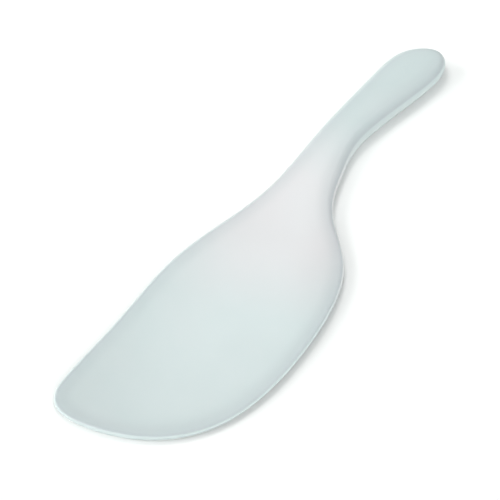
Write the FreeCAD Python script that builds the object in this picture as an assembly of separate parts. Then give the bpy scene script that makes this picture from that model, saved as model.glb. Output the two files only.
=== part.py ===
import FreeCAD, Part
import os
from math import atan, degrees, sqrt

# Paddle-shaped hand scraper for dough and batter, moulded in one piece of white plastic.
# It is drawn as it lies in its mould, with the parting plane on Z = 0 and both faces alike:
# X runs along the scraper, with the tip of the blade at -X and the butt of the grip at +X,
# and the straight scraping edge is on the +Y side. It is then laid on a bench, which it
# touches with the tip of its blade and the front of its grip, and that tilts it by about a
# degree. In that frame Z is up, the bench is Z = 0, and the origin is the middle of the
# bounding box's bottom.

# ---- plan outline, millimetres --------------------------------------------------------
# Points that the outer edge passes through, clockwise seen from above.
OUTLINE = [
    (0.0, 43.5),      # straight side, where the blade runs into the neck
    (34.0, 41.0),     # straight side, lowest place of the neck
    (80.0, 45.0),     # straight side, start of the grip
    (130.0, 47.0),    # straight side, palm swell
    (158.0, 44.0),    # butt, corner on the straight side
    (172.0, 28.0),    # butt, furthest point
    (169.0, 19.0),    # butt, corner on the curved side
    (150.0, 15.0),    # curved side, palm swell
    (90.0, 20.5),     # curved side, finger hollow
    (62.0, 14.0),     # curved side, hollow opening into the throat
    (35.0, 0.0),      # curved side, middle of the throat
    (8.0, -30.0),     # curved side, heel of the blade
    (-50.0, -49.0),   # belly
    (-115.0, -46.0),  # belly, where it starts to sweep round
    (-156.0, -15.0),  # sweep up to the tip
    (-171.0, 28.0),   # tip, furthest point
    (-165.0, 40.0),   # tip, corner at the end of the scraping edge
    (-150.0, 44.0),   # straight scraping edge, outer end
    (-100.0, 47.0),   # straight scraping edge, middle
    (-50.0, 50.5),    # shoulder, the widest place of the straight side
]
GRIP_STARTS = 2       # the outline point from which the edge has the grip's rounding
GRIP_ENDS = 8         # the outline point up to which it has that rounding
BLADE_STARTS = 11     # the outline point from which it has the blade's rounding

# ---- thickness on the middle line -----------------------------------------------------
TIP_THICKNESS = 4.6       # blade at its tip
HEEL_THICKNESS = 6.6      # blade at the foot of the ramp
GRIP_THICKNESS = 14.0
TIP_X = -172.0
RAMP_FOOT_X = -5.0        # where the blade starts to thicken into the handle
RAMP_TOP_X = 95.0         # where the grip has its full thickness

# ---- crown of each face: a parabola across the part -----------------------------------
BLADE_CROWN = 1.2         # how far a face drops at BLADE_HALF_WIDTH from its middle
BLADE_HALF_WIDTH = 50.0
BLADE_MIDDLE_Y = 0.0
GRIP_CROWN = 1.8          # how far a face drops at GRIP_HALF_WIDTH from its middle
GRIP_HALF_WIDTH = 16.0
GRIP_MIDDLE_Y = 31.0
SWING_START_X = -45.0     # between these the crown changes from the blade's to the grip's
SWING_END_X = 75.0

# ---- edge rounding, the same on both faces --------------------------------------------
BLADE_ROUND = 0.8
GRIP_ROUND = 4.0

# ---- the way it lies ------------------------------------------------------------------
TIP_REST_X = -165.0       # where the underside of the blade touches the bench
GRIP_REST_X = 88.0        # where the underside of the grip touches the bench

# ---- working sizes --------------------------------------------------------------------
SURFACE_STEP = 12.0       # spacing of the points that a face passes through
SURFACE_MARGIN = 12.0     # how far a face is carried past the outline
BLANK_HEIGHT = 30.0       # height of the blank before its top is cut
SAME_PLACE = 0.01         # two points closer than this are the same
MESH_TOLERANCE = 0.02     # how closely a mesh follows the body when its box is measured


def between(start, end, share):
    return start + (end - start) * share


def smooth_step(value, low, high):
    """0 below low, 1 above high, and an S-shaped curve between them."""
    share = min(max((value - low) / (high - low), 0.0), 1.0)
    return share * share * (3.0 - 2.0 * share)


def half_thickness_along(x):
    """Half the thickness on the middle line: a thinning blade, a ramp and a level grip."""
    along_blade = min((x - TIP_X) / (RAMP_FOOT_X - TIP_X), 1.0)
    blade = between(TIP_THICKNESS, HEEL_THICKNESS, along_blade)
    return between(blade, GRIP_THICKNESS, smooth_step(x, RAMP_FOOT_X, RAMP_TOP_X)) / 2.0


def face_height(x, y):
    """Half the thickness, less a crown that grows with the square of the distance."""
    share = smooth_step(x, SWING_START_X, SWING_END_X)
    middle = between(BLADE_MIDDLE_Y, GRIP_MIDDLE_Y, share)
    half_width = between(BLADE_HALF_WIDTH, GRIP_HALF_WIDTH, share)
    crown = between(BLADE_CROWN, GRIP_CROWN, share)
    return half_thickness_along(x) - crown * ((y - middle) / half_width) ** 2


def outline_face():
    """The outline as one smooth closed spline, in four edges that meet tangentially."""
    points = [FreeCAD.Vector(x, y, 0.0) for x, y in OUTLINE]
    parameters = [0.0]
    for start, end in zip(points, points[1:] + points[:1]):
        parameters.append(parameters[-1] + sqrt((end - start).Length))
    curve = Part.BSplineCurve()
    curve.interpolate(Points=points, PeriodicFlag=True, Parameters=parameters)
    splits = [parameters[i] for i in (0, GRIP_STARTS, GRIP_ENDS, BLADE_STARTS, -1)]
    edges = [curve.toShape(start, end) for start, end in zip(splits, splits[1:])]
    return Part.Face(Part.Wire(edges))


def stations(low, high):
    """Evenly spaced values from low to high, about SURFACE_STEP apart."""
    count = int((high - low) / SURFACE_STEP) + 1
    return [between(low, high, i / count) for i in range(count + 1)]


def solid_below_face(box):
    """All that lies below the upper face, over the whole outline and a margin."""
    across = stations(box.YMin - SURFACE_MARGIN, box.YMax + SURFACE_MARGIN)
    rows = []
    for x in stations(box.XMin - SURFACE_MARGIN, box.XMax + SURFACE_MARGIN):
        rows.append([FreeCAD.Vector(x, y, face_height(x, y)) for y in across])
    surface = Part.BSplineSurface()
    surface.interpolate(rows)
    return surface.toShape().extrude(FreeCAD.Vector(0.0, 0.0, -2.0 * BLANK_HEIGHT))


def runs_round_the_face(edge):
    """True for an edge of the upper face, false for an upright one or one on Z = 0."""
    first, last = edge.Vertexes[0].Point, edge.Vertexes[-1].Point
    level = FreeCAD.Vector(last.x - first.x, last.y - first.y, 0.0).Length > SAME_PLACE
    return level and edge.BoundBox.ZMax > SAME_PLACE


def round_at(point):
    """The grip's radius at the two places where the grip's edge ends, else the blade's."""
    for index in (GRIP_STARTS, GRIP_ENDS):
        grip_end = FreeCAD.Vector(*OUTLINE[index], point.z)
        if (point - grip_end).Length < SAME_PLACE:
            return GRIP_ROUND
    return BLADE_ROUND


def round_edge(half):
    """Fillet the face's edge with a radius that swells from the blade to the grip."""
    document = FreeCAD.newDocument("scraper")
    base = document.addObject("Part::Feature", "Base")
    base.Shape = half
    radii = []
    for number, edge in enumerate(base.Shape.Edges, start=1):
        if runs_round_the_face(edge):
            ends = [edge.valueAt(edge.FirstParameter), edge.valueAt(edge.LastParameter)]
            if edge.Orientation == "Reversed":
                ends.reverse()
            radii.append((number, round_at(ends[0]), round_at(ends[1])))
    fillet = document.addObject("Part::Fillet", "Fillet")
    fillet.Base = base
    fillet.Edges = radii
    document.recompute()
    return fillet.Shape.copy()


def upper_half():
    """The half of the moulding above the parting plane."""
    blank = outline_face().extrude(FreeCAD.Vector(0.0, 0.0, BLANK_HEIGHT))
    half = blank.common(solid_below_face(blank.BoundBox)).Solids[0]
    return round_edge(half).Solids[0]


def moulding():
    """Both halves in one solid. Their edges meet in the parting line round the rim."""
    upper = upper_half()
    lower = upper.mirror(FreeCAD.Vector(), FreeCAD.Vector(0.0, 0.0, 1.0))
    return upper.fuse(lower).Solids[0]


def measured_box(body):
    """Bounding box of a fine mesh, because the box of a swelling fillet's surface is loose."""
    box = FreeCAD.BoundBox()
    for corner in body.tessellate(MESH_TOLERANCE)[0]:
        box.add(corner)
    return box


def laid_down(body):
    """Tilt the moulding until its blade and its grip both touch the bench, and centre it."""
    climb = half_thickness_along(GRIP_REST_X) - half_thickness_along(TIP_REST_X)
    tilt = degrees(atan(climb / (GRIP_REST_X - TIP_REST_X)))
    body.rotate(FreeCAD.Vector(), FreeCAD.Vector(0.0, 1.0, 0.0), -tilt)
    box = measured_box(body)
    body.translate(FreeCAD.Vector(-box.Center.x, -box.Center.y, -box.ZMin))
    return body


os.makedirs("parts", exist_ok=True)
scraper = laid_down(moulding())
scraper.exportStep("parts/paddle_scraper.step")
box = measured_box(scraper)
print(f"paddle_scraper: valid {scraper.isValid()}, {box.XLength:.1f} x {box.YLength:.1f} "
      f"x {box.ZLength:.1f} mm, {scraper.Volume / 1000.0:.1f} cm3")
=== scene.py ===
import math

import bpy
import numpy as np
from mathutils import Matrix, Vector


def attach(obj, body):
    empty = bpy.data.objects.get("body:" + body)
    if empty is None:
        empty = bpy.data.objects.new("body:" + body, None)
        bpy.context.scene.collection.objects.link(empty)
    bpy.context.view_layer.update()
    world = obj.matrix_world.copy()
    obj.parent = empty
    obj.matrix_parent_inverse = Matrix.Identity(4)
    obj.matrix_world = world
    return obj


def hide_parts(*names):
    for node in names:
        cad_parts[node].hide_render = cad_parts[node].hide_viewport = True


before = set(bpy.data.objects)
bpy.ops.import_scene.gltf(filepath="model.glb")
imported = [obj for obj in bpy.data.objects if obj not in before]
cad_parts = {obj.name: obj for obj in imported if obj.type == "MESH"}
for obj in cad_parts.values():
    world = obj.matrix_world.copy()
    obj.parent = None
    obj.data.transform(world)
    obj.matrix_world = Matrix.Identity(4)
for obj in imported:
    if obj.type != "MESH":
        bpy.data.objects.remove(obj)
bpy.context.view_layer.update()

bl_info = {
    "name": "Paddle scraper",
    "version": (1, 0, 0),
    "blender": (4, 5, 0),
    "location": "View3D > Sidebar > Scraper",
    "description": "One-piece moulded paddle scraper on a pale table",
    "category": "Add Mesh",
}

NODE = "paddle_scraper"
BODY = "root"
MM = 0.001

# Points that the outer edge passes through, clockwise seen from above, in millimetres and in
# the frame of the mould. They are the same points as the CAD body's.
OUTLINE = np.array([
    (0.0, 43.5), (34.0, 41.0), (80.0, 45.0), (130.0, 47.0),           # straight side of neck and grip
    (158.0, 44.0), (172.0, 28.0), (169.0, 19.0),                      # butt
    (150.0, 15.0), (90.0, 20.5), (62.0, 14.0), (35.0, 0.0),           # curved side of grip and throat
    (8.0, -30.0), (-50.0, -49.0), (-115.0, -46.0), (-156.0, -15.0),   # heel, belly and sweep
    (-171.0, 28.0), (-165.0, 40.0),                                   # tip
    (-150.0, 44.0), (-100.0, 47.0), (-50.0, 50.5),                    # straight scraping edge, shoulder
])


# ---- shape ---------------------------------------------------------------------------------

def smooth_step(value, low, high):
    """0 below low, 1 above high, and an S-shaped curve between them."""
    share = np.clip((value - low) / (high - low), 0.0, 1.0)
    return share * share * (3.0 - 2.0 * share)


def between(start, end, share):
    """Straight mix of two values: start at share 0, end at share 1."""
    return start + (end - start) * share


def closed_spline(points, count):
    """The closed cubic spline through the points, as count places at even steps of its own
    parameter. The parameter grows by the square root of each chord, and the spline's second
    derivatives solve the usual ring of equations for a curve with no break in curvature."""
    size = len(points)
    step = np.sqrt(np.linalg.norm(np.roll(points, -1, 0) - points, axis=1))
    before = np.roll(step, 1)
    rows = np.arange(size)
    ring = np.zeros((size, size))
    ring[rows, rows] = 2.0 * (before + step)
    ring[rows, rows - 1] = before
    ring[rows, (rows + 1) % size] = step
    slope = (np.roll(points, -1, 0) - points) / step[:, None]
    second = np.linalg.solve(ring, 6.0 * (slope - np.roll(slope, 1, 0)))
    knots = np.concatenate([[0.0], np.cumsum(step)])
    place = np.linspace(0.0, knots[-1], count, endpoint=False)
    span = np.searchsorted(knots, place, side="right") - 1
    after = (span + 1) % size
    width = step[span][:, None]
    gone = (place - knots[span])[:, None]
    left = width - gone
    return (second[span] * left ** 3 + second[after] * gone ** 3) / (6.0 * width) \
        + (points[span] / width - second[span] * width / 6.0) * left \
        + (points[after] / width - second[after] * width / 6.0) * gone


def resample(line, count):
    """count + 1 points at even lengths along an open polyline, its ends included."""
    length = np.concatenate([[0.0], np.cumsum(np.linalg.norm(np.diff(line, axis=0), axis=1))])
    place = np.linspace(0.0, length[-1], count + 1)
    return np.stack([np.interp(place, length, line[:, k]) for k in range(2)], axis=1)


def inward_normals(line):
    """Unit normals of a closed clockwise line, pointing into it."""
    along = np.roll(line, -1, 0) - np.roll(line, 1, 0)
    along /= np.linalg.norm(along, axis=1)[:, None]
    return np.stack([along[:, 1], -along[:, 0]], axis=1)


def distance_to_line(points, line):
    """Shortest distance from each point to a closed polyline: the nearest corner is found
    first, and then the nearer of the two sides that meet there."""
    nearest = np.empty(len(points), dtype=int)
    block = 2000
    for start in range(0, len(points), block):
        part = points[start:start + block]
        square = (part[:, None, 0] - line[None, :, 0]) ** 2 + (part[:, None, 1] - line[None, :, 1]) ** 2
        nearest[start:start + block] = square.argmin(axis=1)
    best = np.full(len(points), np.inf)
    for shift in (-1, 0):
        start = line[(nearest + shift) % len(line)]
        side = line[(nearest + shift + 1) % len(line)] - start
        share = np.clip(((points - start) * side).sum(1) / (side ** 2).sum(1), 0.0, 1.0)
        best = np.minimum(best, np.linalg.norm(points - start - side * share[:, None], axis=1))
    return best


def columns(shape):
    """The places round the outline where the rings have their points, and for each one its
    foot on the middle line. Between the two hubs the places come in pairs, one on each side
    at the same x, whose foot is halfway. Round the tip and the butt they fan out of a hub."""
    fine = closed_spline(OUTLINE, shape.fine_points)
    tip = int(fine[:, 0].argmin())
    butt = int(fine[:, 0].argmax())
    fine = np.roll(fine, -tip, axis=0)
    butt = (butt - tip) % len(fine)
    straight, curved = fine[:butt + 1], np.vstack([fine[butt:], fine[:1]])[::-1]
    tip_x, butt_x = shape.tip_hub_x / MM, shape.butt_hub_x / MM
    station = np.linspace(tip_x, butt_x, shape.stations)
    upper = np.stack([station, np.interp(station, straight[:, 0], straight[:, 1])], axis=1)
    lower = np.stack([station, np.interp(station, curved[:, 0], curved[:, 1])], axis=1)
    butt_arc = np.vstack([upper[-1:], straight[straight[:, 0] > butt_x],
                          curved[curved[:, 0] > butt_x][::-1], lower[-1:]])
    tip_arc = np.vstack([lower[:1], curved[curved[:, 0] < tip_x][::-1],
                         straight[straight[:, 0] < tip_x], upper[:1]])
    butt_arc = resample(butt_arc, shape.butt_fan)[1:-1]
    tip_arc = resample(tip_arc, shape.tip_fan)[1:-1]
    edge = np.vstack([upper, butt_arc, lower[::-1], tip_arc])
    feet = (upper + lower) / 2.0
    last = shape.stations - 1
    foot_number = np.concatenate([np.arange(last + 1), np.full(len(butt_arc), last),
                                  np.arange(last, -1, -1), np.zeros(len(tip_arc), dtype=int)])
    return fine, edge, feet, foot_number


def thickness_along(x, shape):
    """Thickness on the middle line: a thinning blade, a ramp and a level grip."""
    along_blade = np.clip((x - shape.tip_x / MM) / (shape.ramp_foot_x / MM - shape.tip_x / MM), 0.0, 1.0)
    blade = between(shape.tip_thickness, shape.heel_thickness, along_blade) / MM
    climb = smooth_step(x, shape.ramp_foot_x / MM, shape.ramp_top_x / MM)
    return between(blade, shape.grip_thickness / MM, climb)


def grip_share(x, shape):
    """0 on the blade, 1 on the grip, for all that changes from one to the other."""
    return smooth_step(x, shape.swing_start_x / MM, shape.swing_end_x / MM)


def face_height(x, y, distance, shape):
    """Height of the upper face over the parting plane: half the thickness, less a crown that
    grows with the square of the distance from the middle, less a bevel on the blade that
    grows with the square of the nearness to the edge."""
    share = grip_share(x, shape)
    middle = between(shape.blade_middle_y, shape.grip_middle_y, share) / MM
    half = between(shape.blade_half_width, shape.grip_half_width, share) / MM
    crown = between(shape.blade_crown, shape.grip_crown, share) / MM
    nearness = np.clip(1.0 - distance / (shape.bevel_width / MM), 0.0, 1.0)
    bevel = shape.bevel_drop / MM * (1.0 - share) * nearness ** 2
    return thickness_along(x, shape) / 2.0 - crown * ((y - middle) / half) ** 2 - bevel


def upper_height(x, y, distance, shape):
    """A quarter of an ellipse from the wall's top up to the face, whose width is the edge
    rounding, and the face itself further in."""
    share = grip_share(x, shape)
    width = between(shape.blade_round, shape.grip_round, share) / MM
    wall_top = between(shape.blade_wall, shape.grip_wall, share) / MM
    rise = np.sqrt(1.0 - np.clip(1.0 - distance / width, 0.0, 1.0) ** 2)
    return wall_top + (face_height(x, y, distance, shape) - wall_top) * rise


def ring_points(edge, normal, foot, depth, shape):
    """Points at a depth inside the edge: straight in as far as straight_in, and from there
    along the line to the foot on the middle line."""
    straight_in = shape.straight_in / MM
    inner = edge + normal * straight_in
    reach = np.linalg.norm(foot - inner, axis=1)
    share = np.clip((depth - straight_in) / reach, 0.0, 1.0)
    near = edge + normal * np.minimum(depth, straight_in)[:, None]
    return np.where((depth > straight_in)[:, None], inner + (foot - inner) * share[:, None], near)


def upper_rings(edge, normal, foot, fine, shape):
    """Rings from the top of the wall round the upper corner and in over the crowned face to
    the middle line, each with the distances of its points from the outer edge."""
    straight_in = shape.straight_in / MM
    full = np.linalg.norm(foot - edge - normal * straight_in, axis=1) + straight_in
    share = grip_share(edge[:, 0], shape)
    width = between(shape.blade_round, shape.grip_round, share) / MM
    inset = math.tan(shape.draft) * between(shape.blade_wall, shape.grip_wall, share) / MM
    rings, distances = [], []
    for angle in np.linspace(0.0, math.pi / 2.0, shape.round_rings + 1)[:-1]:
        depth = width * (1.0 - math.cos(angle))
        points = ring_points(edge, normal, foot, depth + inset, shape)
        rings.append(np.column_stack([points, upper_height(points[:, 0], points[:, 1], depth, shape)]))
        distances.append(depth)
    for t in np.linspace(0.0, 1.0, shape.face_rings + 1):
        depth = width + (full - width) * t ** shape.ring_spacing
        points = ring_points(edge, normal, foot, depth + inset * (1.0 - t), shape)
        true_distance = distance_to_line(points, fine) - inset * (1.0 - t)
        distance = between(depth, true_distance, smooth_step(depth, straight_in / 2.0, straight_in))
        rings.append(np.column_stack([points, upper_height(points[:, 0], points[:, 1], distance, shape)]))
        distances.append(distance)
    return rings, distances


def wall_rings(edge, normal, shape):
    """Rings up the wall over the ridge that the mould's joint leaves, which is a raised
    cosine standing on the drafted wall."""
    rings = []
    for t in np.linspace(-1.0, 1.0, shape.ridge_rings + 1):
        height = t * shape.ridge_width / MM / 2.0
        stand_out = shape.ridge_height / MM * (0.5 + 0.5 * math.cos(math.pi * t))
        depth = math.tan(shape.draft) * abs(height) - stand_out
        rings.append(np.column_stack([edge + normal * depth, np.full(len(edge), height)]))
    return rings


def paddle_arrays(shape):
    """The whole closed skin as a stack of rings carried round the outline, in millimetres and
    in the mould's frame: out over the lower face, up the wall and in over the upper face. The
    lower face is the upper one mirrored in the parting plane. With the rings come the
    distances of their points from the edge, and the foot number of each column."""
    fine, edge, feet, foot_number = columns(shape)
    normal = inward_normals(edge)
    upper, distances = upper_rings(edge, normal, feet[foot_number], fine, shape)
    lower = [ring * (1.0, 1.0, -1.0) for ring in upper[::-1]]
    wall = wall_rings(edge, normal, shape)
    no_distance = [np.zeros(len(edge))] * len(wall)
    return lower + wall + upper, distances[::-1] + no_distance + distances, foot_number


def laid_down(places, shape):
    """The moulding as it lies on a bench, on the tip of its blade and the front of its grip:
    tilted about Y until both touch, and moved so that its box's bottom middle is the origin."""
    rest = np.array([shape.tip_rest_x, shape.grip_rest_x]) / MM
    low = thickness_along(rest, shape) / 2.0
    tilt = math.atan((low[1] - low[0]) / (rest[1] - rest[0]))
    x = places[:, 0] * math.cos(tilt) - places[:, 2] * math.sin(tilt)
    z = places[:, 0] * math.sin(tilt) + places[:, 2] * math.cos(tilt)
    laid = np.column_stack([x, places[:, 1], z])
    low, high = laid.min(0), laid.max(0)
    return laid - ((low + high) / 2.0 * (1.0, 1.0, 0.0) + low * (0.0, 0.0, 1.0))


def skin_faces(ring_count, column_count, foot_number):
    """Quads between neighbouring rings. The first and the last ring are the middle line, seen
    from below and from above, where columns with one foot share one point: quads that have
    lost a side there become triangles."""
    index = np.arange(ring_count * column_count).reshape(ring_count, column_count)
    first_of_foot = np.unique(foot_number, return_index=True)[1]
    for ring in (0, ring_count - 1):
        index[ring] = index[ring][first_of_foot[foot_number]]
    a, b = index[:-1], index[1:]
    quads = np.stack([a, np.roll(a, -1, 1), np.roll(b, -1, 1), b], axis=-1).reshape(-1, 4)
    used, packed = np.unique(quads, return_inverse=True)
    quads = packed.reshape(quads.shape)
    lost_low = quads[:, 0] == quads[:, 1]
    lost_high = quads[:, 2] == quads[:, 3]
    whole = quads[~(lost_low | lost_high)]
    triangles = np.vstack([quads[lost_low][:, 1:], quads[lost_high][:, :3]])
    return used, whole.tolist() + triangles.tolist()


class ScraperShape(bpy.types.PropertyGroup):
    """Sizes of the moulding in the frame of its mould, where the parting plane is Z = 0."""

    tip_thickness: bpy.props.FloatProperty(
        name="Tip thickness", description="Thickness of the blade's middle at its tip",
        default=4.6 * MM, unit="LENGTH")
    heel_thickness: bpy.props.FloatProperty(
        name="Heel thickness", description="Thickness of the blade's middle at the foot of the ramp",
        default=6.6 * MM, unit="LENGTH")
    grip_thickness: bpy.props.FloatProperty(
        name="Grip thickness", description="Thickness of the grip's middle",
        default=14.0 * MM, unit="LENGTH")
    tip_x: bpy.props.FloatProperty(
        name="Tip", description="Where along the tool the blade has its tip thickness",
        default=-172.0 * MM, unit="LENGTH")
    ramp_foot_x: bpy.props.FloatProperty(
        name="Ramp foot", description="Where along the tool the blade starts to thicken",
        default=-5.0 * MM, unit="LENGTH")
    ramp_top_x: bpy.props.FloatProperty(
        name="Ramp top", description="Where along the tool the grip has its full thickness",
        default=95.0 * MM, unit="LENGTH")
    tip_rest_x: bpy.props.FloatProperty(
        name="Tip rest", description="Where along the blade it touches the bench",
        default=-165.0 * MM, unit="LENGTH")
    grip_rest_x: bpy.props.FloatProperty(
        name="Grip rest", description="Where along the grip it touches the bench",
        default=88.0 * MM, unit="LENGTH")
    swing_start_x: bpy.props.FloatProperty(
        name="Blade ends", description="Where the section starts to change from the blade's",
        default=-45.0 * MM, unit="LENGTH")
    swing_end_x: bpy.props.FloatProperty(
        name="Grip starts", description="Where the section has become the grip's",
        default=75.0 * MM, unit="LENGTH")
    blade_middle_y: bpy.props.FloatProperty(
        name="Blade middle", description="Middle line of the blade",
        default=0.0, unit="LENGTH")
    grip_middle_y: bpy.props.FloatProperty(
        name="Grip middle", description="Middle line of the grip",
        default=31.0 * MM, unit="LENGTH")
    blade_half_width: bpy.props.FloatProperty(
        name="Blade half width", description="Distance at which the blade's crown is reached",
        default=50.0 * MM, unit="LENGTH")
    grip_half_width: bpy.props.FloatProperty(
        name="Grip half width", description="Distance at which the grip's crown is reached",
        default=16.0 * MM, unit="LENGTH")
    blade_crown: bpy.props.FloatProperty(
        name="Blade crown", description="How far each face of the blade drops towards its long edges",
        default=1.2 * MM, unit="LENGTH")
    grip_crown: bpy.props.FloatProperty(
        name="Grip crown", description="How far each face of the grip drops towards its long edges",
        default=1.8 * MM, unit="LENGTH")
    bevel_width: bpy.props.FloatProperty(
        name="Bevel width", description="Width of the soft bevel round the blade",
        default=11.0 * MM, unit="LENGTH")
    bevel_drop: bpy.props.FloatProperty(
        name="Bevel drop", description="How far the bevel lowers each face at the blade's edge",
        default=0.35 * MM, unit="LENGTH")
    blade_round: bpy.props.FloatProperty(
        name="Blade rounding", description="Width of the rounding along the blade's edges",
        default=1.1 * MM, unit="LENGTH")
    grip_round: bpy.props.FloatProperty(
        name="Grip rounding", description="Width of the rounding along the grip's edges",
        default=4.8 * MM, unit="LENGTH")
    blade_wall: bpy.props.FloatProperty(
        name="Blade wall", description="Height of the blade's wall on each side of the parting plane",
        default=0.6 * MM, unit="LENGTH")
    grip_wall: bpy.props.FloatProperty(
        name="Grip wall", description="Height of the grip's wall on each side of the parting plane",
        default=0.8 * MM, unit="LENGTH")
    ridge_width: bpy.props.FloatProperty(
        name="Ridge width", description="Width of the ridge that the mould's joint leaves",
        default=0.6 * MM, unit="LENGTH")
    ridge_height: bpy.props.FloatProperty(
        name="Ridge height", description="How far the parting ridge stands out",
        default=0.15 * MM, unit="LENGTH")
    draft: bpy.props.FloatProperty(
        name="Draft", description="Lean of the walls away from the parting plane",
        default=math.radians(2.0), subtype="ANGLE")
    straight_in: bpy.props.FloatProperty(
        name="Straight in", description="How far the rings run square to the edge",
        default=4.5 * MM, unit="LENGTH")
    tip_hub_x: bpy.props.FloatProperty(
        name="Tip hub", description="Where the fan of faces round the tip has its hub",
        default=-135.0 * MM, unit="LENGTH")
    butt_hub_x: bpy.props.FloatProperty(
        name="Butt hub", description="Where the fan of faces round the butt has its hub",
        default=157.0 * MM, unit="LENGTH")
    stations: bpy.props.IntProperty(
        name="Stations", description="Pairs of columns between the two hubs", default=320)
    tip_fan: bpy.props.IntProperty(
        name="Tip fan", description="Columns round the tip", default=130)
    butt_fan: bpy.props.IntProperty(
        name="Butt fan", description="Columns round the butt", default=64)
    fine_points: bpy.props.IntProperty(
        name="Fine points", description="Points of the outline that distances are measured to",
        default=4000)
    ridge_rings: bpy.props.IntProperty(
        name="Ridge rings", description="Rings over the parting ridge", default=8)
    round_rings: bpy.props.IntProperty(
        name="Corner rings", description="Rings round each corner", default=14)
    face_rings: bpy.props.IntProperty(
        name="Face rings", description="Rings across each crowned face", default=26)
    ring_spacing: bpy.props.FloatProperty(
        name="Ring spacing", description="Above 1 the rings crowd towards the edge",
        default=1.6)


def mesh_object(name, places, faces):
    """A smooth-shaded mesh at the origin, unturned and unscaled, linked to the scene."""
    mesh = bpy.data.meshes.new(name)
    mesh.from_pydata(places, [], faces)
    mesh.update()
    mesh.shade_smooth()
    obj = bpy.data.objects.new(name, mesh)
    bpy.context.scene.collection.objects.link(obj)
    return obj


class SCRAPER_OT_paddle(bpy.types.Operator):
    """Add the one-piece paddle: blade, ramp, neck and grip in one closed skin"""

    bl_idname = "scraper.paddle"
    bl_label = "Paddle"

    def execute(self, context):
        shape = context.scene.scraper_shape
        rings, depths, foot_number = paddle_arrays(shape)
        places = laid_down(np.vstack(rings), shape) * MM
        used, faces = skin_faces(len(rings), len(foot_number), foot_number)
        obj = mesh_object("paddle", places[used], faces)
        attribute = obj.data.attributes.new("edge_distance", "FLOAT", "POINT")
        attribute.data.foreach_set("value", (np.concatenate(depths)[used] * MM).astype(np.float32))
        obj.data.materials.append(white_plastic(context.scene.scraper_finish))
        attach(obj, BODY)
        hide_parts(NODE)
        return {"FINISHED"}


# ---- finish --------------------------------------------------------------------------------

class ScraperFinish(bpy.types.PropertyGroup):
    """Colour and surface of the plastic, with a painted sheen at the neck and painted shade along the edges.
    """

    cool_white: bpy.props.FloatVectorProperty(
        name="Cool white", description="The plastic where it looks coolest",
        default=(0.515, 0.590, 0.588), size=3, min=0.0, max=1.0, subtype="COLOR")
    # Painted sheen: a lighter, more neutral white round a point at the neck stands in for a highlight there;
    # the three values after it place it and fade it out.
    painted_sheen_white: bpy.props.FloatVectorProperty(
        name="Neutral white", description="The plastic where it looks most neutral",
        default=(0.600, 0.606, 0.612), size=3, min=0.0, max=1.0, subtype="COLOR")
    painted_sheen_middle: bpy.props.FloatVectorProperty(
        name="Neutral middle", description="Where the plastic looks most neutral",
        default=(15.0 * MM, 20.0 * MM, 8.0 * MM), size=3, subtype="TRANSLATION", unit="LENGTH")
    painted_sheen_core: bpy.props.FloatProperty(
        name="Neutral core", description="How far from there the plastic stays as neutral",
        default=20.0 * MM, unit="LENGTH")
    painted_sheen_reach: bpy.props.FloatProperty(
        name="Neutral reach", description="How far from there the cool white takes over",
        default=90.0 * MM, unit="LENGTH")
    # Painted shade: a darker colour in a wide band and a narrow line inside each edge of the faces; the four
    # values after it set its widths and depths.
    painted_edge_shade: bpy.props.FloatVectorProperty(
        name="Edge white", description="The plastic along the edges of its faces",
        default=(0.43, 0.475, 0.49), size=3, min=0.0, max=1.0, subtype="COLOR")
    painted_shade_band: bpy.props.FloatProperty(
        name="Edge band", description="How far from an edge the edge's colour fades out",
        default=12.0 * MM, unit="LENGTH")
    painted_shade_line: bpy.props.FloatProperty(
        name="Edge line", description="How far from an edge the narrow dull line fades out",
        default=3.0 * MM, unit="LENGTH")
    painted_shade_band_share: bpy.props.FloatProperty(
        name="Edge band share", description="How much of the edge's colour the wide band has at its outside",
        default=0.42, min=0.0, max=1.0, subtype="FACTOR")
    painted_shade_line_share: bpy.props.FloatProperty(
        name="Edge line share", description="How much the narrow line adds to that",
        default=0.40, min=0.0, max=1.0, subtype="FACTOR")
    roughness: bpy.props.FloatProperty(
        name="Roughness", description="Roughness of the satin skin",
        default=0.34, min=0.0, max=1.0, subtype="FACTOR")
    scatter: bpy.props.FloatProperty(
        name="Scatter length", description="How far light wanders in the milky plastic before it leaves",
        default=6.0 * MM, unit="LENGTH")
    grain_height: bpy.props.FloatProperty(
        name="Grain height", description="Height of the fine moulded grain",
        default=0.05 * MM, unit="LENGTH")


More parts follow.
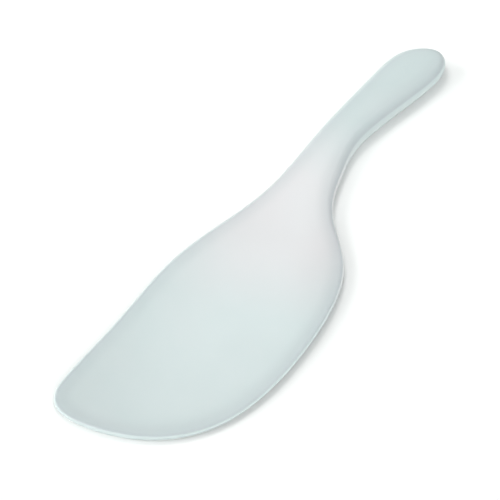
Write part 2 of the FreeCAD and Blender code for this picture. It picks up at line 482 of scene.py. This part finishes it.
class Nodes:
    """Short calls for building one material's node tree."""

    def __init__(self, material):
        material.use_nodes = True
        self.tree = material.node_tree
        self.tree.nodes.clear()

    def add(self, kind, **settings):
        """A new node of this kind with these settings."""
        node = self.tree.nodes.new(kind)
        for key, value in settings.items():
            setattr(node, key, value)
        return node

    def link(self, source, target):
        """Join an output to an input."""
        self.tree.links.new(source, target)

    def noise(self, vector, scale, detail=2.0, roughness=0.5):
        """Smooth noise round one half, with about as many lumps to a metre as the scale says."""
        node = self.add("ShaderNodeTexNoise")
        node.inputs["Scale"].default_value = scale
        node.inputs["Detail"].default_value = detail
        node.inputs["Roughness"].default_value = roughness
        self.link(vector, node.inputs["Vector"])
        return node.outputs["Fac"]

    def distance(self, vector, middle):
        """Distance from each place to one fixed point."""
        node = self.add("ShaderNodeVectorMath", operation="DISTANCE")
        self.link(vector, node.inputs[0])
        node.inputs[1].default_value = middle
        return node.outputs["Value"]

    def fit(self, value, low, high, new_low, new_high):
        """S-shaped change from new_low, where the value is low, to new_high, where it is high."""
        node = self.add("ShaderNodeMapRange", interpolation_type="SMOOTHSTEP")
        for name, number in zip(("From Min", "From Max", "To Min", "To Max"), (low, high, new_low, new_high)):
            node.inputs[name].default_value = number
        self.link(value, node.inputs["Value"])
        return node.outputs["Result"]

    def math(self, operation, a, b):
        """Sum or product of two outputs."""
        node = self.add("ShaderNodeMath", operation=operation)
        self.link(a, node.inputs[0])
        self.link(b, node.inputs[1])
        return node.outputs["Value"]

    def blend(self, share, a, b):
        """Mix of two colours, a at share 0 and b at share 1, each fixed or another's output."""
        node = self.add("ShaderNodeMix", data_type="RGBA")
        for name, value in (("Factor_Float", share), ("A_Color", a), ("B_Color", b)):
            socket = next(s for s in node.inputs if s.identifier == name)
            if hasattr(value, "is_output"):
                self.link(value, socket)
            else:
                socket.default_value = (*value, 1.0)
        return next(s for s in node.outputs if s.identifier == "Result_Color")


CLOUD_SCALE = 14.0            # lumps to a metre in the cloudiness of the colour
CLOUD_RANGE = (0.35, 0.65)    # the part of the noise's range that the cloudiness uses
CLOUD_DEPTH = 0.1             # how far the cloudiness moves the mix of the two whites
# The next three distances shape the painted shade along the edges: where it starts on a face, where it is
# full, and where its narrow line fades.
CORNER_ENDS = 0.3 * MM        # from the edge up to here a face keeps the body's colour
FACE_STARTS = 0.9 * MM        # from here on the edge's colour is at its full share
LINE_STARTS = 0.5 * MM        # from here on the narrow dull line fades
GRAIN_SCALE = 900.0           # grains to a metre
PATCH_SCALE = 60.0            # patches of a different gloss to a metre
PATCH_RANGE = (0.3, 0.7)      # the part of the noise's range that the patches use
PATCH_DEPTH = 0.015           # how far the patches move the roughness
FLECK_SCALE = 30.0            # flecks to a metre in the table top
FLECK_SHADE = 0.985           # brightness of the darkest fleck beside the plain table top


def colour_with_painted_light(nodes, place, distance, finish):
    """Cool white all over, lighter and more neutral towards the neck, which is a painted sheen,
    with a faint cloudiness, and darker in a band and a narrow line inside each edge, which is
    painted shade. The wall and the very edge of each face keep the body's colour."""
    # Painted sheen: the colour turns lighter and more neutral round a point at the neck.
    away = nodes.distance(place, finish.painted_sheen_middle)
    neck = nodes.fit(away, finish.painted_sheen_core, finish.painted_sheen_reach, 1.0, 0.0)
    cloud = nodes.fit(nodes.noise(place, CLOUD_SCALE), *CLOUD_RANGE, -CLOUD_DEPTH, CLOUD_DEPTH)
    body = nodes.blend(nodes.math("ADD", neck, cloud), finish.cool_white, finish.painted_sheen_white)
    # Painted shade: darker in a wide band and a narrow line inside each edge of the faces.
    on_face = nodes.fit(distance, CORNER_ENDS, FACE_STARTS, 0.0, 1.0)
    band = nodes.fit(distance, 0.0, finish.painted_shade_band, finish.painted_shade_band_share, 0.0)
    line = nodes.fit(distance, LINE_STARTS, finish.painted_shade_line, finish.painted_shade_line_share, 0.0)
    painted_shade_share = nodes.math("MULTIPLY", on_face, nodes.math("ADD", band, line))
    return nodes.blend(painted_shade_share, body, finish.painted_edge_shade)


def white_plastic(finish):
    """Milky white plastic with a satin skin of fine moulded grain, its colour carrying a painted sheen at the
    neck and painted shade along the edges.
    """
    material = bpy.data.materials.new("white_plastic")
    nodes = Nodes(material)
    place = nodes.add("ShaderNodeTexCoord").outputs["Object"]
    distance = nodes.add("ShaderNodeAttribute", attribute_name="edge_distance").outputs["Fac"]
    shader = nodes.add("ShaderNodeBsdfPrincipled")
    output = nodes.add("ShaderNodeOutputMaterial")
    nodes.link(shader.outputs["BSDF"], output.inputs["Surface"])

    nodes.link(colour_with_painted_light(nodes, place, distance, finish), shader.inputs["Base Color"])
    grain = nodes.noise(place, GRAIN_SCALE, detail=3.0, roughness=0.6)
    patch = nodes.noise(place, PATCH_SCALE)
    smoothest, roughest = finish.roughness - PATCH_DEPTH, finish.roughness + PATCH_DEPTH
    nodes.link(nodes.fit(patch, *PATCH_RANGE, smoothest, roughest), shader.inputs["Roughness"])

    bump = nodes.add("ShaderNodeBump")
    bump.inputs["Strength"].default_value = 0.25
    bump.inputs["Distance"].default_value = finish.grain_height
    nodes.link(grain, bump.inputs["Height"])
    nodes.link(bump.outputs["Normal"], shader.inputs["Normal"])
    shader.inputs["Subsurface Weight"].default_value = 1.0
    shader.inputs["Subsurface Radius"].default_value = (1.0, 1.0, 1.0)
    shader.inputs["Subsurface Scale"].default_value = finish.scatter
    shader.inputs["IOR"].default_value = 1.5
    return material


def floor_paint(colour):
    """Matt table top whose colour hardly varies."""
    material = bpy.data.materials.new("table_top")
    nodes = Nodes(material)
    place = nodes.add("ShaderNodeTexCoord").outputs["Object"]
    shader = nodes.add("ShaderNodeBsdfPrincipled")
    output = nodes.add("ShaderNodeOutputMaterial")
    nodes.link(shader.outputs["BSDF"], output.inputs["Surface"])
    fleck = nodes.noise(place, FLECK_SCALE)
    darker = tuple(part * FLECK_SHADE for part in colour)
    nodes.link(nodes.blend(fleck, colour, darker), shader.inputs["Base Color"])
    shader.inputs["Roughness"].default_value = 0.8
    shader.inputs["Specular IOR Level"].default_value = 0.1
    return material


# ---- stage ---------------------------------------------------------------------------------

class ScraperStage(bpy.types.PropertyGroup):
    """Table, lights and camera."""

    floor_colour: bpy.props.FloatVectorProperty(
        name="Table colour", description="Colour of the table top",
        default=(0.915, 0.935, 0.925), size=3, min=0.0, max=1.0, subtype="COLOR")
    floor_size: bpy.props.FloatProperty(
        name="Table size", description="Side of the table top", default=6.0, unit="LENGTH")
    camera_azimuth: bpy.props.FloatProperty(
        name="Camera azimuth", description="Turn of the view about the upright axis, from a view along +Y",
        default=math.radians(-50.0), subtype="ANGLE")
    camera_elevation: bpy.props.FloatProperty(
        name="Camera elevation", description="How far the camera looks down",
        default=math.radians(53.0), subtype="ANGLE")
    camera_distance: bpy.props.FloatProperty(
        name="Camera distance", description="From the camera to the middle of the view",
        default=1.5, unit="LENGTH")
    view_width: bpy.props.FloatProperty(
        name="View width", description="Width of the view at that distance",
        default=294.1 * MM, unit="LENGTH")
    view_middle: bpy.props.FloatVectorProperty(
        name="View middle", description="Point of the table in the middle of the view",
        default=(-14.5 * MM, 23.2 * MM, 0.0), size=3, subtype="TRANSLATION", unit="LENGTH")
    left: bpy.props.FloatVectorProperty(
        name="Left light", description="Bearing leftwards from the far side, elevation and apparent size",
        default=[math.radians(angle) for angle in (93.0, 26.0, 50.0)], size=3, subtype="EULER")
    left_strength: bpy.props.FloatProperty(
        name="Left strength", description="In watts per square metre", default=2.2)
    front: bpy.props.FloatVectorProperty(
        name="Front light", description="Bearing leftwards from the far side, elevation and apparent size",
        default=[math.radians(angle) for angle in (180.0, 35.0, 60.0)], size=3, subtype="EULER")
    front_strength: bpy.props.FloatProperty(
        name="Front strength", description="In watts per square metre", default=1.0)
    right: bpy.props.FloatVectorProperty(
        name="Right light", description="Bearing leftwards from the far side, elevation and apparent size",
        default=[math.radians(angle) for angle in (225.0, 20.0, 40.0)], size=3, subtype="EULER")
    right_strength: bpy.props.FloatProperty(
        name="Right strength", description="In watts per square metre", default=0.9)
    softbox: bpy.props.FloatVectorProperty(
        name="Softbox",
        description="Bearing leftwards from the far side and elevation, in radians, and distance in metres",
        default=(math.radians(8.0), math.radians(66.0), 0.5), size=3)
    softbox_middle: bpy.props.FloatVectorProperty(
        name="Softbox middle", description="Point that the softbox faces, just over the table",
        default=(0.0, 20.0 * MM, 5.0 * MM), size=3, subtype="TRANSLATION", unit="LENGTH")
    softbox_size: bpy.props.FloatProperty(
        name="Softbox size", description="Side of the softbox", default=0.2, unit="LENGTH")
    softbox_power: bpy.props.FloatProperty(
        name="Softbox power", description="In watts", default=0.85)
    sky_strength: bpy.props.FloatProperty(
        name="Sky strength", description="Strength of the even light from all round", default=0.40)
    backdrop: bpy.props.FloatProperty(
        name="Backdrop", description="Brightness of what the camera sees beyond the table", default=1.0)


def towards(azimuth, elevation):
    """Unit vector that a camera at this azimuth and elevation looks along."""
    level = math.cos(elevation)
    return Vector((-math.sin(azimuth) * level, math.cos(azimuth) * level, -math.sin(elevation)))


def aim(obj, direction):
    """Turn a light or a camera to face along this direction, with its own top upwards."""
    obj.rotation_euler = direction.to_track_quat("-Z", "Y").to_euler()


def add_light(name, kind, bearing, elevation):
    """A light that shines down from this bearing, measured leftwards from the side beyond the
    table, at this elevation. Also returned is the direction in which it shines."""
    light = bpy.data.lights.new(name, kind)
    obj = bpy.data.objects.new(name, light)
    bpy.context.scene.collection.objects.link(obj)
    forward = towards(bpy.context.scene.scraper_stage.camera_azimuth + bearing + math.pi, elevation)
    aim(obj, forward)
    return obj, light, forward


def add_sun(name, place, strength):
    """A broad far light that lights the plastic without mirroring itself in it."""
    bearing, elevation, spread = place
    obj, light, _ = add_light(name, "SUN", bearing, elevation)
    light.energy = strength
    light.angle = spread
    obj.visible_glossy = False


def add_softbox(name, place, middle, size, power):
    """A square panel of light that faces a point from this distance."""
    bearing, elevation, distance = place
    obj, light, forward = add_light(name, "AREA", bearing, elevation)
    light.size = size
    light.energy = power
    obj.location = Vector(middle) - forward * distance


def studio_world(sky_strength, backdrop):
    """Even white light from all round, whose strength the camera itself sees as the backdrop."""
    world = bpy.data.worlds.new("studio")
    world.use_nodes = True
    nodes = world.node_tree.nodes
    background = nodes["Background"]
    background.inputs["Color"].default_value = (1.0, 1.0, 1.0, 1.0)
    path = nodes.new("ShaderNodeLightPath")
    strength = nodes.new("ShaderNodeMapRange")
    strength.inputs["To Min"].default_value = sky_strength
    strength.inputs["To Max"].default_value = backdrop
    world.node_tree.links.new(path.outputs["Is Camera Ray"], strength.inputs["Value"])
    world.node_tree.links.new(strength.outputs["Result"], background.inputs["Strength"])
    return world


class SCRAPER_OT_stage(bpy.types.Operator):
    """Add the pale table top, the soft lights and the camera"""

    bl_idname = "scraper.stage"
    bl_label = "Stage"

    def execute(self, context):
        stage = context.scene.scraper_stage
        half = stage.floor_size / 2.0
        corners = [(-half, -half, 0.0), (half, -half, 0.0), (half, half, 0.0), (-half, half, 0.0)]
        floor = mesh_object("table_top", corners, [(0, 1, 2, 3)])
        floor.data.materials.append(floor_paint(stage.floor_colour))

        context.scene.world = studio_world(stage.sky_strength, stage.backdrop)
        context.scene.view_settings.view_transform = "Standard"
        add_sun("left", stage.left, stage.left_strength)
        add_sun("front", stage.front, stage.front_strength)
        add_sun("right", stage.right, stage.right_strength)
        add_softbox("softbox", stage.softbox, stage.softbox_middle, stage.softbox_size, stage.softbox_power)

        data = bpy.data.cameras.new("camera")
        data.sensor_width = 36.0
        data.lens = data.sensor_width * stage.camera_distance / stage.view_width
        data.clip_end = 50.0
        camera = bpy.data.objects.new("camera", data)
        context.scene.collection.objects.link(camera)
        forward = towards(stage.camera_azimuth, stage.camera_elevation)
        camera.location = Vector(stage.view_middle) - forward * stage.camera_distance
        aim(camera, forward)
        context.scene.camera = camera
        return {"FINISHED"}


class SCRAPER_PT_panel(bpy.types.Panel):
    """Lists the operators and their values"""

    bl_label = "Paddle scraper"
    bl_idname = "SCRAPER_PT_panel"
    bl_space_type = "VIEW_3D"
    bl_region_type = "UI"
    bl_category = "Scraper"

    def draw(self, context):
        for group, operator in (("scraper_shape", "scraper.paddle"), ("scraper_finish", None),
                                ("scraper_stage", "scraper.stage")):
            values = getattr(context.scene, group)
            for name in values.__annotations__:
                self.layout.prop(values, name)
            if operator:
                self.layout.operator(operator)


CLASSES = (ScraperShape, ScraperFinish, ScraperStage, SCRAPER_OT_paddle, SCRAPER_OT_stage, SCRAPER_PT_panel)


def register():
    for item in CLASSES:
        bpy.utils.register_class(item)
    bpy.types.Scene.scraper_shape = bpy.props.PointerProperty(type=ScraperShape)
    bpy.types.Scene.scraper_finish = bpy.props.PointerProperty(type=ScraperFinish)
    bpy.types.Scene.scraper_stage = bpy.props.PointerProperty(type=ScraperStage)


def unregister():
    del bpy.types.Scene.scraper_shape
    del bpy.types.Scene.scraper_finish
    del bpy.types.Scene.scraper_stage
    for item in reversed(CLASSES):
        bpy.utils.unregister_class(item)


def main():
    register()
    bpy.ops.scraper.paddle()
    bpy.ops.scraper.stage()


if __name__ == "__main__":
    main()
